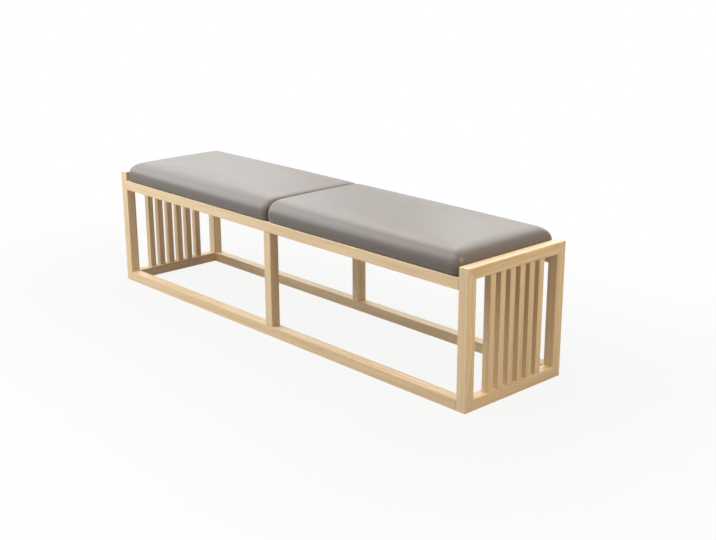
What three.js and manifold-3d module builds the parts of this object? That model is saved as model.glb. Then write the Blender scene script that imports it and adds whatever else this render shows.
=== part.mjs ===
// Upholstered bench with slatted end frames, in millimetres.
// X runs along the bench, Y from front to back and Z up. The origin is on the floor, under the middle.
import * as THREE from "three";
import { mergeVertices } from "three/addons/utils/BufferGeometryUtils.js";
import Module from "manifold-3d";

const wasm = await Module();
wasm.setup();

// End frames: two posts, a top rail and a bottom rail with mitred corners
const LENGTH = 1650; // over the outer faces of the end frames
const DEPTH = 400; // over the front and back faces
const END_HEIGHT = 400; // floor to the top of an end frame
const END_THICKNESS = 33; // of an end frame, along X
const POST_WIDTH = 33; // of an end post, along Y
const END_RAIL_HEIGHT = 33;
const EDGE_EASE = 2; // radius on the long edges of the frame's members

// Slats of an end frame
const SLAT_COUNT = 6;
const SLAT_PITCH = 40;
const SLAT_WIDTH = 21; // along Y
const SLAT_DEPTH = 22; // along X
const SLAT_INSET = 1; // behind the outer face of the end frame
const SLAT_EASE = 1.2;

// Long rails and the posts between them
const RAIL_WIDTH = 33; // along Y
const RAIL_HEIGHT = 33;
const RAIL_DROP = 31; // top of an end frame to the top of a long top rail
const MID_POST_WIDTH = 32; // along X
const MID_POST_DEPTH = 32; // along Y, flush with the outer face of the rails

// Cross bearers under the pads
const BEARER_WIDTH = 33; // along X
const MIDDLE_BEARER_WIDTH = 66;
const BEARER_HEIGHT = 22;

// Joints in the wood
const FIT = 0.3; // clearance round a tenon or a dowel
const SEAM = 0.2; // glue line at a shoulder or a mitre
const SHOULDER = 5; // step beside a tenon
const SLAT_TENON_LENGTH = 12;
const SLAT_SHOULDER = 4;
const RAIL_TENON_THICKNESS = 11;
const MID_POST_TENON_LENGTH = 8;
const MID_POST_TENON_THICKNESS = 10;
const BEARER_TENON_LENGTH = 8;
const CORNER_TENON_THICKNESS = 6; // along X
const CORNER_TENON_WIDTH = 14; // along the mitre
const CORNER_TENON_LENGTH = 18; // across the mitre
const CORNER_TENON_INSET = 7; // behind the outer face of the end frame
const JOINT_WALL = 5; // wood between a corner tenon and the holes bored from inside
const DOWEL_DIAMETER = 8;
const DOWEL_FROM_MITRE = 9; // a dowel's centre from the mitre
const DOWEL_IN_RAIL = 25; // how far a dowel goes into a long bottom rail

// Seat pads
const PAD_REVEAL = 4; // outer face of a long rail to the foot of a pad
const PAD_END_CLEARANCE = 1.5; // between a pad and an end frame
const PAD_JOINT_GAP = 1; // between the two pads
const PAD_HEIGHT = 67; // long rail to the edge of a pad's top
const CROWN = 9.5; // swell of a pad's top at its middle
const END_CROWN = 1.2; // swell halfway along the ends of a pad's top
const EDGE_ROUND = 66; // round edge at the front, back and outer end, seen from above
const EDGE_RISE = 44.5; // height of that round edge
const EDGE_FULLNESS = 2.45; // exponent of that round edge; 2 is a plain ellipse
const CORNER_ROUND = 26; // radius of an outer corner, seen from above
const JOINT_ROUND = 20; // round edge where the pads meet, seen from above
const JOINT_DROP = 12; // height of that round edge
const BELLY = 8; // how far the sides swell past their foot
const CORNER_PULL = 4; // how far the sides are drawn in again at the outer corners
const COVER_THICKNESS = 1.2;
const HEM_SETBACK = 4; // edge of the turned-under hem to the inner face of a long rail
const BOARD_THICKNESS = 12;
const BOARD_SETBACK = 10; // edge of a board to the foot of its pad
const CLEAT_WIDTH = 22;
const CLEAT_DROP = 17; // below the top of the long rails
const CLEAT_CLEARANCE = 1.5; // between a cleat and a long rail
const CLEAT_END_SPACE = 50; // between a cleat's end and a bearer

// Facets
const EASE_CURVE_SEGMENTS = 1; // an eased edge has twice as many facets
const DOWEL_SIDES = 16;
const JOINT_STEPS = 5;
const LENGTH_STEPS = 8;
const WALL_STEPS = 3;
const EDGE_STEPS = 6;
const TOP_STEPS = 8;
const MERGE_DISTANCE = 1e-4;

// Places that follow from the sizes
const INNER_X = LENGTH / 2 - END_THICKNESS; // inner face of an end frame
const INNER_Y = DEPTH / 2 - RAIL_WIDTH; // inner face of a long rail
const RAIL_TOP = END_HEIGHT - RAIL_DROP;
const RAIL_Y = DEPTH / 2 - RAIL_WIDTH / 2;
const MID_POST_Y = DEPTH / 2 - MID_POST_DEPTH / 2;
const SIDE_BEARER_X = INNER_X / 2;
const JOINT_DEPTH = END_THICKNESS - CORNER_TENON_INSET - CORNER_TENON_THICKNESS - FIT - JOINT_WALL;
const PAD_LENGTH = INNER_X - PAD_END_CLEARANCE - PAD_JOINT_GAP / 2;
const PAD_HALF_DEPTH = DEPTH / 2 - PAD_REVEAL;
const QUARTER_TURN = Math.PI / 2;
const CLEAR_CUT = 5; // how far a cutting block runs past the face that it opens

const ASH = new THREE.MeshStandardMaterial({ color: 0xe0c49a, roughness: 0.5, metalness: 0 });
const BEECH = new THREE.MeshStandardMaterial({ color: 0xc9a274, roughness: 0.6, metalness: 0 });
const PLYWOOD = new THREE.MeshStandardMaterial({ color: 0xd0b083, roughness: 0.7, metalness: 0 });
const FOAM = new THREE.MeshStandardMaterial({ color: 0xe6dcc0, roughness: 0.95, metalness: 0 });
const COVER = new THREE.MeshStandardMaterial({ color: 0x938b86, roughness: 0.45, metalness: 0 });

// Solids and meshes

function toSolid(geometry) {
  const bare = geometry.clone();
  bare.deleteAttribute("normal");
  bare.deleteAttribute("uv");
  const merged = mergeVertices(bare, MERGE_DISTANCE);
  const mesh = new wasm.Mesh({
    numProp: 3,
    vertProperties: merged.getAttribute("position").array,
    triVerts: new Uint32Array(merged.index.array),
  });
  return new wasm.Manifold(mesh);
}

function toGeometry(solid) {
  const mesh = solid.getMesh();
  const geometry = new THREE.BufferGeometry();
  geometry.setAttribute("position", new THREE.BufferAttribute(mesh.vertProperties, 3));
  geometry.setIndex(new THREE.BufferAttribute(mesh.triVerts, 1));
  geometry.computeVertexNormals();
  return geometry;
}

// A geometry with others joined to it, then others cut from it
function shaped(geometry, joined, cuts) {
  let solid = toSolid(geometry);
  for (const extra of joined) solid = solid.add(toSolid(extra));
  for (const cut of cuts) solid = solid.subtract(toSolid(cut));
  return toGeometry(solid);
}

function piece(parent, name, geometry, material) {
  const mesh = new THREE.Mesh(geometry, material);
  mesh.name = name;
  parent.add(mesh);
  return mesh;
}

// Basic forms

function block(low, high) {
  const size = high.map((value, axis) => value - low[axis]);
  const centre = high.map((value, axis) => (value + low[axis]) / 2);
  return new THREE.BoxGeometry(...size).translate(...centre);
}

function roundedRectangle(width, height, radius) {
  const x = width / 2 - radius;
  const y = height / 2 - radius;
  const shape = new THREE.Shape();
  shape.absarc(x, y, radius, 0, QUARTER_TURN);
  shape.absarc(-x, y, radius, QUARTER_TURN, 2 * QUARTER_TURN);
  shape.absarc(-x, -y, radius, 2 * QUARTER_TURN, 3 * QUARTER_TURN);
  shape.absarc(x, -y, radius, 3 * QUARTER_TURN, 4 * QUARTER_TURN);
  return shape;
}

function extruded(shape, depth) {
  const options = { depth, bevelEnabled: false, curveSegments: EASE_CURVE_SEGMENTS };
  return new THREE.ExtrudeGeometry(shape, options);
}

// A bar between two opposite corners, with its edges eased along the named axis
function easedBar(axis, low, high, ease) {
  const [sizeX, sizeY, sizeZ] = high.map((value, index) => value - low[index]);
  const sections = { x: [sizeZ, sizeY, sizeX], y: [sizeX, sizeZ, sizeY], z: [sizeX, sizeY, sizeZ] };
  const [width, height, length] = sections[axis];
  const bar = extruded(roundedRectangle(width, height, ease), length).translate(0, 0, -length / 2);
  if (axis === "x") bar.rotateY(QUARTER_TURN);
  if (axis === "y") bar.rotateX(-QUARTER_TURN);
  return bar.translate(...high.map((value, index) => (value + low[index]) / 2));
}

// A prism along X whose outline is given as [y, z] points
function prismAlongX(outline, lowX, highX) {
  const shape = new THREE.Shape(outline.map(([y, z]) => new THREE.Vector2(y, z)));
  const swap = new THREE.Matrix4().set(0, 0, 1, lowX, 1, 0, 0, 0, 0, 1, 0, 0, 0, 0, 0, 1);
  return extruded(shape, highX - lowX).applyMatrix4(swap);
}

function rodAlongX(diameter, lowX, highX, y, z) {
  const rod = new THREE.CylinderGeometry(diameter / 2, diameter / 2, highX - lowX, DOWEL_SIDES);
  return rod.rotateZ(QUARTER_TURN).translate((lowX + highX) / 2, y, z);
}

// Corners of an end frame. Its own x runs from the inner face outwards.

// One corner: its middle, the direction along its mitre and the direction across it into the rail.
function corner(sideY, atTop) {
  const outer = new THREE.Vector2(sideY * (DEPTH / 2), atTop ? END_HEIGHT : 0);
  const inward = atTop ? -END_RAIL_HEIGHT : END_RAIL_HEIGHT;
  const inner = new THREE.Vector2(sideY * (DEPTH / 2 - POST_WIDTH), outer.y + inward);
  const along = inner.clone().sub(outer).normalize();
  const toRail = new THREE.Vector2(-along.y, along.x);
  if (toRail.x * sideY > 0) toRail.negate();
  const middle = inner.clone().add(outer).divideScalar(2);
  return { outer, inner, along, toRail, middle, sideY, atTop };
}

// What is cut from a member beyond the mitre; into is the direction across it, away from the member.
function mitreCut({ outer, inner, along, toRail }, fromPost) {
  const into = toRail.clone().multiplyScalar(fromPost ? 1 : -1);
  const reach = outer.distanceTo(inner);
  const edge = into.clone().multiplyScalar(-SEAM / 2);
  const start = outer.clone().addScaledVector(along, -CLEAR_CUT).add(edge);
  const end = inner.clone().addScaledVector(along, CLEAR_CUT).add(edge);
  const far = into.clone().multiplyScalar(reach);
  const outline = [start, end, end.clone().add(far), start.clone().add(far)];
  if (THREE.ShapeUtils.isClockWise(outline)) outline.reverse();
  return prismAlongX(outline.map(({ x, y }) => [x, y]), -CLEAR_CUT, END_THICKNESS + CLEAR_CUT);
}

// The sharp edge that is taken off an end frame's outer corner
function arrisCut({ outer, sideY, atTop }) {
  const sideZ = atTop ? 1 : -1;
  const at = (y, z) => [outer.x - sideY * y, outer.y - sideZ * z];
  const slope = EDGE_EASE * (1 - Math.SQRT1_2);
  const outline = [
    at(EDGE_EASE, -CLEAR_CUT),
    at(EDGE_EASE, 0),
    at(slope, slope),
    at(0, EDGE_EASE),
    at(-CLEAR_CUT, EDGE_EASE),
    at(-CLEAR_CUT, -CLEAR_CUT),
  ];
  if (sideY * sideZ < 0) outline.reverse();
  return prismAlongX(outline, -CLEAR_CUT, END_THICKNESS + CLEAR_CUT);
}

function cornerTenon({ along, middle }, clearance) {
  const thickness = CORNER_TENON_THICKNESS + 2 * clearance;
  const width = CORNER_TENON_WIDTH + 2 * clearance;
  const length = CORNER_TENON_LENGTH + 2 * clearance;
  const x = END_THICKNESS - CORNER_TENON_INSET - CORNER_TENON_THICKNESS / 2;
  const tenon = new THREE.BoxGeometry(thickness, width, length);
  return tenon.rotateX(along.angle()).translate(x, middle.x, middle.y);
}

// A dowel between an end frame and a long bottom rail, in the post or in the end rail of that corner
function dowel({ toRail, middle }, inPost, clearance) {
  const shift = inPost ? -DOWEL_FROM_MITRE : DOWEL_FROM_MITRE;
  const y = middle.x + toRail.x * shift;
  const z = middle.y + toRail.y * shift;
  const diameter = DOWEL_DIAMETER + 2 * clearance;
  return rodAlongX(diameter, -DOWEL_IN_RAIL - clearance, JOINT_DEPTH - FIT + clearance, y, z);
}

// The tenon on each end of a long top rail, as it stands in an end frame
function railTenon(sideY, clearance) {
  const halfThickness = RAIL_TENON_THICKNESS / 2 + clearance;
  const low = RAIL_TOP - RAIL_HEIGHT + SHOULDER - clearance;
  const high = RAIL_TOP - SHOULDER + clearance;
  const y = sideY * RAIL_Y;
  const depth = JOINT_DEPTH - FIT + clearance;
  return block([-CLEAR_CUT, y - halfThickness, low], [depth, y + halfThickness, high]);
}

// Slats

const SLAT_X = END_THICKNESS - SLAT_INSET - SLAT_DEPTH / 2;
const SLAT_PLACES = Array.from({ length: SLAT_COUNT }, (_, i) => (i - (SLAT_COUNT - 1) / 2) * SLAT_PITCH);

// The tenon core that runs the whole height of a slat, standing at y = 0
function slatCore(clearance) {
  const x = SLAT_DEPTH / 2 - SLAT_SHOULDER + clearance;
  const y = SLAT_WIDTH / 2 - SLAT_SHOULDER + clearance;
  const low = END_RAIL_HEIGHT - SLAT_TENON_LENGTH - clearance;
  const high = END_HEIGHT - END_RAIL_HEIGHT + SLAT_TENON_LENGTH + clearance;
  return block([SLAT_X - x, -y, low], [SLAT_X + x, y, high]);
}

function slatForm() {
  const low = [SLAT_X - SLAT_DEPTH / 2, -SLAT_WIDTH / 2, END_RAIL_HEIGHT + SEAM];
  const high = [SLAT_X + SLAT_DEPTH / 2, SLAT_WIDTH / 2, END_HEIGHT - END_RAIL_HEIGHT - SEAM];
  return shaped(easedBar("z", low, high, SLAT_EASE), [slatCore(0)], []);
}

// Members of an end frame

function endPost(sideY) {
  const outerY = sideY * (DEPTH / 2);
  const innerY = sideY * (DEPTH / 2 - POST_WIDTH);
  const low = [0, Math.min(outerY, innerY), 0];
  const high = [END_THICKNESS, Math.max(outerY, innerY), END_HEIGHT];
  const corners = [corner(sideY, false), corner(sideY, true)];
  const cuts = corners.flatMap((c) => [mitreCut(c, true), arrisCut(c), cornerTenon(c, FIT)]);
  cuts.push(railTenon(sideY, FIT), dowel(corners[0], true, FIT));
  return shaped(easedBar("z", low, high, EDGE_EASE), [], cuts);
}

function endRail(atTop) {
  const bottom = atTop ? END_HEIGHT - END_RAIL_HEIGHT : 0;
  const low = [0, -DEPTH / 2, bottom];
  const high = [END_THICKNESS, DEPTH / 2, bottom + END_RAIL_HEIGHT];
  const corners = [corner(-1, atTop), corner(1, atTop)];
  const cuts = corners.flatMap((c) => [mitreCut(c, false), arrisCut(c), cornerTenon(c, FIT)]);
  for (const y of SLAT_PLACES) cuts.push(slatCore(FIT).translate(0, y, 0));
  if (atTop) cuts.push(railTenon(-1, FIT), railTenon(1, FIT));
  else cuts.push(...corners.map((c) => dowel(c, false, FIT)));
  return shaped(easedBar("y", low, high, EDGE_EASE), [], cuts);
}

// An end frame with its slats, corner tenons and the dowels to the long bottom rails
function endFrame(side) {
  const frame = new THREE.Group();
  const nameOf = (sideY) => (sideY * (side === "right" ? -1 : 1) > 0 ? "front" : "back");
  for (const sideY of [-1, 1]) {
    const name = `${side}_${nameOf(sideY)}`;
    piece(frame, `${name}_post`, endPost(sideY), ASH);
    for (const atTop of [false, true]) {
      const tenonName = `${name}_${atTop ? "top" : "bottom"}_corner_tenon`;
      piece(frame, tenonName, cornerTenon(corner(sideY, atTop), 0), BEECH);
    }
    const bottom = corner(sideY, false);
    piece(frame, `${name}_post_dowel`, dowel(bottom, true, 0), BEECH);
    piece(frame, `${name}_end_rail_dowel`, dowel(bottom, false, 0), BEECH);
  }
  piece(frame, `${side}_end_top_rail`, endRail(true), ASH);
  piece(frame, `${side}_end_bottom_rail`, endRail(false), ASH);
  const slat = slatForm();
  SLAT_PLACES.forEach((y, i) => {
    const fromFront = side === "right" ? i + 1 : SLAT_COUNT - i;
    piece(frame, `${side}_slat_${fromFront}`, slat, ASH).position.y = y;
  });
  frame.position.x = side === "right" ? INNER_X : -INNER_X;
  frame.rotation.z = side === "right" ? 0 : Math.PI;
  return frame;
}

// Long rails, middle posts and bearers. A front rail is made in its place; the back one is it turned round.

const BEARERS = [
  { name: "left", x: -SIDE_BEARER_X, width: BEARER_WIDTH },
  { name: "middle", x: 0, width: MIDDLE_BEARER_WIDTH },
  { name: "right", x: SIDE_BEARER_X, width: BEARER_WIDTH },
];

// The tenon core that runs the whole length of a bearer
function bearerCore({ x, width }, clearance) {
  const halfWidth = width / 2 - SHOULDER + clearance;
  const reach = INNER_Y + BEARER_TENON_LENGTH + clearance;
  const low = RAIL_TOP - BEARER_HEIGHT + SHOULDER - clearance;
  return block([x - halfWidth, -reach, low], [x + halfWidth, reach, RAIL_TOP - SHOULDER + clearance]);
}

function bearerForm(bearer) {
  const low = [bearer.x - bearer.width / 2, -INNER_Y + SEAM, RAIL_TOP - BEARER_HEIGHT];
  const high = [bearer.x + bearer.width / 2, INNER_Y - SEAM, RAIL_TOP];
  return shaped(easedBar("y", low, high, EDGE_EASE), [bearerCore(bearer, 0)], []);
}

// The tenon core that runs the whole height of a front middle post
function midPostCore(clearance) {
  const halfWidth = MID_POST_WIDTH / 2 - SHOULDER + clearance;
  const halfDepth = MID_POST_TENON_THICKNESS / 2 + clearance;
  const low = RAIL_HEIGHT - MID_POST_TENON_LENGTH - clearance;
  const high = RAIL_TOP - RAIL_HEIGHT + MID_POST_TENON_LENGTH + clearance;
  return block([-halfWidth, -MID_POST_Y - halfDepth, low], [halfWidth, -MID_POST_Y + halfDepth, high]);
}

function midPostForm() {
  const low = [-MID_POST_WIDTH / 2, -DEPTH / 2, RAIL_HEIGHT + SEAM];
  const high = [MID_POST_WIDTH / 2, -DEPTH / 2 + MID_POST_DEPTH, RAIL_TOP - RAIL_HEIGHT - SEAM];
  return shaped(easedBar("z", low, high, EDGE_EASE), [midPostCore(0)], []);
}

function railBar(bottom) {
  const low = [-INNER_X + SEAM, -DEPTH / 2, bottom];
  const high = [INNER_X - SEAM, -INNER_Y, bottom + RAIL_HEIGHT];
  return easedBar("x", low, high, EDGE_EASE);
}

// A front joint's form, made for the right end frame, at both ends of the bench
function atBothEnds(make) {
  const right = make(-1).translate(INNER_X, 0, 0);
  const left = make(1).rotateZ(Math.PI).translate(-INNER_X, 0, 0);
  return [right, left];
}

function topRail() {
  const tenons = atBothEnds((sideY) => railTenon(sideY, 0));
  const cuts = BEARERS.map((bearer) => bearerCore(bearer, FIT));
  cuts.push(midPostCore(FIT));
  return shaped(railBar(RAIL_TOP - RAIL_HEIGHT), tenons, cuts);
}

function bottomRail() {
  const holes = [true, false].flatMap((inPost) =>
    atBothEnds((sideY) => dowel(corner(sideY, false), inPost, FIT)),
  );
  return shaped(railBar(0), [], [...holes, midPostCore(FIT)]);
}

function longMembers() {
  const members = new THREE.Group();
  const forms = { top_rail: topRail(), bottom_rail: bottomRail(), middle_post: midPostForm() };
  for (const [name, form] of Object.entries(forms)) {
    piece(members, `front_${name}`, form, ASH);
    piece(members, `back_${name}`, form, ASH).rotation.z = Math.PI;
  }
  for (const bearer of BEARERS) piece(members, `${bearer.name}_bearer`, bearerForm(bearer), BEECH);
  return members;
}

// Seat pads. A pad's own x runs from the joint outwards, and its z from the top of the long rails.

const WALL_TOP = PAD_HEIGHT - EDGE_RISE; // where a side ends and the round edge starts
const EDGE_BEND = 2 / EDGE_FULLNESS;

// How far a point of the round edge has come across and up, as shares of its size
function edgeAcross(turn) {
  return 1 - Math.cos(turn) ** EDGE_BEND;
}

function edgeUp(turn) {
  return Math.sin(turn) ** EDGE_BEND;
}

// Stations along a pad: x, how far the section shrinks for the joint's edge, and how far the round
// edge turns there, which is less and less at the outer end.
function padStations(inset) {
  const jointRound = Math.max(JOINT_ROUND - inset, 0);
  const jointDrop = Math.max(JOINT_DROP - inset, 0);
  const outerRound = EDGE_ROUND - inset;
  const start = inset;
  const plainStart = start + jointRound;
  const plainEnd = PAD_LENGTH - EDGE_ROUND;
  const stations = [];
  for (let i = 0; i < JOINT_STEPS; i++) {
    const turn = (QUARTER_TURN * i) / JOINT_STEPS;
    const x = plainStart - jointRound * Math.cos(turn);
    stations.push({ x, shrink: jointDrop * (1 - Math.sin(turn)), fullTurn: QUARTER_TURN });
  }
  for (let i = 0; i < LENGTH_STEPS; i++) {
    const x = plainStart + ((plainEnd - plainStart) * i) / LENGTH_STEPS;
    stations.push({ x, shrink: 0, fullTurn: QUARTER_TURN });
  }
  for (let i = EDGE_STEPS; i >= 0; i--) {
    const turn = (QUARTER_TURN * i) / EDGE_STEPS;
    const x = PAD_LENGTH - inset - outerRound * edgeAcross(turn);
    stations.push({ x, shrink: 0, fullTurn: turn });
  }
  return stations;
}

// The swell of a pad's top
function crownAt(x, y) {
  const u = (2 * x) / PAD_LENGTH - 1;
  const v = y / (PAD_HALF_DEPTH + BELLY);
  return (END_CROWN + (CROWN - END_CROWN) * (1 - u * u)) * (1 - v * v);
}

// The swell of a pad's sides, which is full at the joint and drawn in at the outer corners
function bellyAt(x) {
  return BELLY - CORNER_PULL * (x / PAD_LENGTH) ** 4;
}

// How far the rounded outer corner cuts into the sides
function cornerCutAt(x, inset) {
  const radius = CORNER_ROUND - inset;
  const intoCorner = Math.max(x - (PAD_LENGTH - CORNER_ROUND), 0) / radius;
  return radius * (1 - Math.sqrt(Math.max(1 - intoCorner * intoCorner, 0)));
}

// One section across a pad, from the foot of its front side over the top to the foot of its back side
function padSection({ x, shrink, fullTurn }, inset, base) {
  const footHalf = PAD_HALF_DEPTH - inset - shrink - cornerCutAt(x, inset);
  const edge = EDGE_ROUND - inset - shrink;
  const rise = EDGE_RISE - inset - shrink;
  const front = [];
  for (let i = 0; i < WALL_STEPS; i++) {
    const z = base + ((WALL_TOP - base) * i) / WALL_STEPS;
    front.push([x, -footHalf - bellyAt(x) * Math.sin((QUARTER_TURN * z) / WALL_TOP), z]);
  }
  for (let i = 0; i < EDGE_STEPS; i++) {
    const turn = (fullTurn * i) / EDGE_STEPS;
    const y = -footHalf - bellyAt(x) + edge * edgeAcross(turn);
    front.push([x, y, WALL_TOP + (rise + crownAt(x, y)) * edgeUp(turn)]);
  }
  const back = front.map(([px, py, pz]) => [px, -py, pz]).reverse();
  const topHalf = footHalf + bellyAt(x) - edge * edgeAcross(fullTurn);
  const top = [];
  for (let i = 0; i <= TOP_STEPS; i++) {
    const y = topHalf * ((2 * i) / TOP_STEPS - 1);
    top.push([x, y, WALL_TOP + (rise + crownAt(x, y)) * edgeUp(fullTurn)]);
  }
  return [...front, ...top, ...back];
}

// A closed surface through sections of equally many points, with a flat foot and two end faces
function loft(sections) {
  const count = sections[0].length;
  const triangles = [];
  const last = sections.length - 1;
  for (let s = 0; s < last; s++) {
    for (let p = 0; p < count; p++) {
      const a = s * count + p;
      const b = s * count + ((p + 1) % count);
      triangles.push([a, b + count, b], [a, a + count, b + count]);
    }
  }
  for (let p = 1; p < count - 1; p++) {
    triangles.push([0, p, p + 1], [last * count, last * count + p + 1, last * count + p]);
  }
  const points = sections.flat().map((point) => new THREE.Vector3(...point));
  const meets = (a, b) => points[a].distanceTo(points[b]) < MERGE_DISTANCE;
  const open = ([a, b, c]) => !meets(a, b) && !meets(b, c) && !meets(c, a);
  const geometry = new THREE.BufferGeometry().setFromPoints(points);
  return geometry.setIndex(triangles.filter(open).flat());
}

function padForm(inset, base) {
  return loft(padStations(inset).map((station) => padSection(station, inset, base)));
}

function padBoard() {
  const base = COVER_THICKNESS + FIT;
  const low = [BOARD_SETBACK, -PAD_HALF_DEPTH + BOARD_SETBACK, base];
  const high = [PAD_LENGTH - BOARD_SETBACK, PAD_HALF_DEPTH - BOARD_SETBACK, base + BOARD_THICKNESS];
  return easedBar("z", low, high, CORNER_ROUND);
}

function padCover() {
  const hemY = INNER_Y + HEM_SETBACK;
  const hem = PAD_HALF_DEPTH - hemY;
  const opening = block(
    [hem, -hemY, -CLEAR_CUT],
    [PAD_LENGTH - hem, hemY, COVER_THICKNESS + FIT + BOARD_THICKNESS],
  );
  return shaped(padForm(0, 0), [], [padForm(COVER_THICKNESS, COVER_THICKNESS), opening]);
}

function padCleat(sideY) {
  const startX = MIDDLE_BEARER_WIDTH / 2 + CLEAT_END_SPACE - PAD_JOINT_GAP / 2;
  const endX = SIDE_BEARER_X - BEARER_WIDTH / 2 - CLEAT_END_SPACE - PAD_JOINT_GAP / 2;
  const outerY = INNER_Y - CLEAT_CLEARANCE;
  const y = sideY * (outerY - CLEAT_WIDTH / 2);
  const low = [startX, y - CLEAT_WIDTH / 2, -CLEAT_DROP];
  const high = [endX, y + CLEAT_WIDTH / 2, COVER_THICKNESS + FIT];
  return easedBar("x", low, high, EDGE_EASE);
}

function seatPad(side) {
  const pad = new THREE.Group();
  const boardTop = COVER_THICKNESS + FIT + BOARD_THICKNESS;
  piece(pad, `${side}_pad_cover`, padCover(), COVER);
  piece(pad, `${side}_pad_foam`, padForm(COVER_THICKNESS + FIT, boardTop), FOAM);
  piece(pad, `${side}_pad_board`, padBoard(), PLYWOOD);
  const frontSide = side === "right" ? -1 : 1;
  piece(pad, `${side}_pad_front_cleat`, padCleat(frontSide), BEECH);
  piece(pad, `${side}_pad_back_cleat`, padCleat(-frontSide), BEECH);
  pad.position.set(side === "right" ? PAD_JOINT_GAP / 2 : -PAD_JOINT_GAP / 2, 0, RAIL_TOP);
  pad.rotation.z = side === "right" ? 0 : Math.PI;
  return pad;
}

const bench = new THREE.Group();
bench.add(endFrame("left"), endFrame("right"), longMembers(), seatPad("left"), seatPad("right"));

export default bench;
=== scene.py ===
"""Dresses a slatted bench for its portrait: grain and lacquer on the ash frame, two upholstered pads
and a pale studio. It is laid out as an add-on and run as a script. Lengths are metres, in the frame
of the packed model."""

import math
from typing import NamedTuple

import bmesh
import bpy
from bpy.props import FloatProperty, FloatVectorProperty, IntProperty, PointerProperty
from bpy.types import Operator, Panel, PropertyGroup
from mathutils import Matrix, Vector


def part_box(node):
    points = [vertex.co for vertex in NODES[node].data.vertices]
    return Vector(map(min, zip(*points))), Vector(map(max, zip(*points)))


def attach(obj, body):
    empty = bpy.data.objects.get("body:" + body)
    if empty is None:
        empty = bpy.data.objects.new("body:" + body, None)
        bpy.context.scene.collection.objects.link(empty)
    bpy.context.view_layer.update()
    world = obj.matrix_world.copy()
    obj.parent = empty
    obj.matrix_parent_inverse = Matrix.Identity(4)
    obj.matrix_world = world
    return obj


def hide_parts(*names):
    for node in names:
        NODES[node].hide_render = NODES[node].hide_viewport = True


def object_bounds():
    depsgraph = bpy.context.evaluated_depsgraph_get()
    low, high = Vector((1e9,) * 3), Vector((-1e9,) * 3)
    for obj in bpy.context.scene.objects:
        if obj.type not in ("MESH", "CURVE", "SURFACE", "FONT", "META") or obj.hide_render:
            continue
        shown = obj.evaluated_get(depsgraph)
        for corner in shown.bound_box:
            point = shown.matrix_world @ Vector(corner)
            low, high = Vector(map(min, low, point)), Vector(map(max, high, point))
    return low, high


bl_info = {
    "name": "Slatted Bench",
    "version": (1, 0, 0),
    "blender": (4, 5, 0),
    "location": "3D View > Sidebar > Bench",
    "description": "Ash grain, upholstered pads and a studio for a slatted bench",
    "category": "Object",
}

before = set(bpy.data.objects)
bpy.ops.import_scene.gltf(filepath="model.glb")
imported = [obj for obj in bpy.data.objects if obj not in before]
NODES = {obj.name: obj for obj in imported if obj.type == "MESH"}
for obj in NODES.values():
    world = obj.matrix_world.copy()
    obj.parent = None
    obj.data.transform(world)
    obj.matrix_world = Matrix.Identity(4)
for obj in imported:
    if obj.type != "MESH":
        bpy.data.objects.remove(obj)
CAD_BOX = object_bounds()

# Places taken from the packed model
SIDES = ("left", "right")
END_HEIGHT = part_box("right_end_top_rail")[1].z
HALF_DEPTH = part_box("right_end_top_rail")[1].y
END_RAIL_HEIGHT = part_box("right_end_bottom_rail")[1].z
INNER_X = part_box("right_front_post")[0].x
RAIL_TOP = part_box("front_top_rail")[1].z
RAIL_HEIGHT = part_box("front_bottom_rail")[1].z
RAIL_INNER_Y = -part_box("front_bottom_rail")[1].y
PAD_LOW, PAD_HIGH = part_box("right_pad_cover")
BOARD_LOW, BOARD_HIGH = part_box("right_pad_board")
PAD_START = PAD_LOW.x
PAD_LENGTH = PAD_HIGH.x - PAD_LOW.x
PAD_HALF_DEPTH = (PAD_HIGH.y - PAD_LOW.y) / 2
BOARD_BASE = BOARD_LOW.z - RAIL_TOP
BOARD_TOP = BOARD_HIGH.z - RAIL_TOP

MILLIMETRE = 0.001
QUARTER_TURN = math.pi / 2
MIX_COLOUR_A, MIX_COLOUR_B, MIX_COLOUR_RESULT = 6, 7, 2  # sockets of a Mix node for colours
SHIFT_RATIOS = (1.0, 1.7, 2.3)  # how far a piece's own shift of a pattern goes along each axis


# Settings that a user would change


def length(name, description, millimetres):
    """A length property whose default is written in millimetres."""
    default = millimetres * MILLIMETRE
    return FloatProperty(name=name, description=description, default=default, unit="LENGTH", precision=4)


def share(name, description, default, highest=1.0):
    """A number from 0 up to its highest value."""
    return FloatProperty(name=name, description=description, default=default, min=0.0, max=highest)


def colour(name, description, default):
    """A colour in linear light."""
    return FloatVectorProperty(name=name, description=description, default=default, size=3, subtype="COLOR")


def place(name, description, default):
    """A point of the bench's frame."""
    kind = "TRANSLATION"
    return FloatVectorProperty(name=name, description=description, default=default, size=3, subtype=kind)


def power(name, description, watts):
    """The power of a lamp."""
    return FloatProperty(name=name, description=description, default=watts, min=0.0, unit="POWER")


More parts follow.
